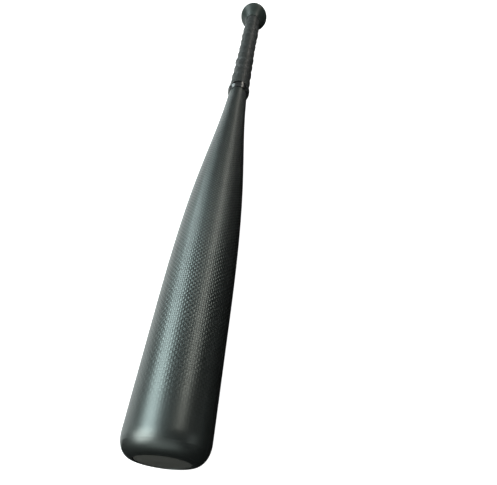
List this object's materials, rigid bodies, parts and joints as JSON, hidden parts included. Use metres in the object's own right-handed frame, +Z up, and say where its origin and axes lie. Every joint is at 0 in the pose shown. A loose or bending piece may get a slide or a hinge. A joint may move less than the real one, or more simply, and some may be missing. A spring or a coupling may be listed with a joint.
{
  "type": "baseball bat",
  "caption": "Hollow carbon-fibre bat with a long taper, a snap-in end cap, a round flared knob and a spirally wrapped grip.",
  "frame": {"origin": "middle of the underside of the box round the bat, which lies on its side with its barrel and knob on Z = 0", "axes": "+Z up; the bat lies along Y, knob towards +Y and barrel end towards -Y; its own axis is 0.64 degrees off Y, the knob's end lower, because the knob is thinner than the barrel"},
  "size_m": [0.0666, 0.8132, 0.068],
  "materials": {
    "carbon_shell": "plain-weave carbon fibre under a satin clear coat",
    "carbon_inner": "bare cured carbon",
    "cap_urethane": "fine moulded texture",
    "knob_urethane": "moulded, half gloss",
    "plug_rubber": "matte",
    "weight_steel": "turned",
    "foam": "closed-cell foam",
    "underwrap_tape": "cloth tape",
    "grip_leather": "embossed synthetic leather, matte",
    "collar_rubber": "glossy"
  },
  "bodies": {
    "root": {"barrel_shell": "carbon_shell", "stiffener_ring": "carbon_inner", "end_cap": "cap_urethane", "cap_foam": "foam", "knob": "knob_urethane", "knob_plug": "plug_rubber", "balance_weight": "weight_steel", "handle_foam": "foam", "grip_underwrap": "underwrap_tape", "grip_wrap": "grip_leather", "grip_collar": "collar_rubber"}
  },
  "joints": []
}
